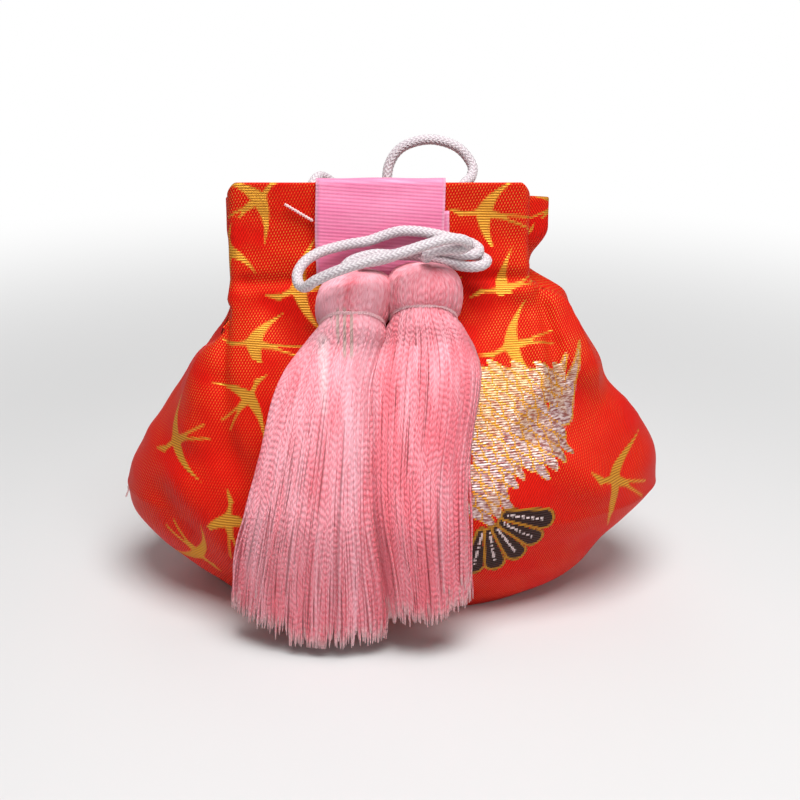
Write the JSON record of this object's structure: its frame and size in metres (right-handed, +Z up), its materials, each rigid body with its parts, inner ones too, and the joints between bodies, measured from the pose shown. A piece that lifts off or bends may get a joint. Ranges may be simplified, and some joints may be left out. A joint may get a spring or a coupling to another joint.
{
  "type": "drawstring_pouch",
  "caption": "Small brocade kinchaku pouch with a flat pleated neck, a ribbon over the mouth, a white cord tied in a flower knot and thread tassels",
  "frame": {"origin": "middle of the flat base that the pouch stands on", "axes": "+X to the right across the wide front, -Y out of the front with the tassels, +Z up"},
  "size_m": [0.1032, 0.0596, 0.0842],
  "materials": {
    "brocade": "woven_brocade",
    "lining": "plain_weave",
    "ribbon": "ribbed",
    "cord": "braided",
    "thread": "twisted",
    "tassel_thread": "silky",
    "binding_thread": "twisted"
  },
  "bodies": {
    "pouch": {"brocade_bag": "brocade", "lining_bag": "lining", "ribbon": "ribbon", "knot_cord": "cord", "hanging_cord": "cord", "thread_end": "thread", "loose_thread": "thread"},
    "left_tassel": {"tassel_left": "tassel_thread", "binding_left": "binding_thread"},
    "right_tassel": {"tassel_right": "tassel_thread", "binding_right": "binding_thread"}
  },
  "joints": [
    {"name": "left_tassel_swing", "type": "hinge", "parent": "pouch", "child": "left_tassel", "pos_m": [-0.00352, -0.01089, 0.0646], "axis": [-1, 0, 0], "range_deg": [0, 25]},
    {"name": "right_tassel_swing", "type": "hinge", "parent": "pouch", "child": "right_tassel", "pos_m": [0.00826, -0.01059, 0.0657], "axis": [-1, 0, 0], "range_deg": [0, 25]}
  ]
}
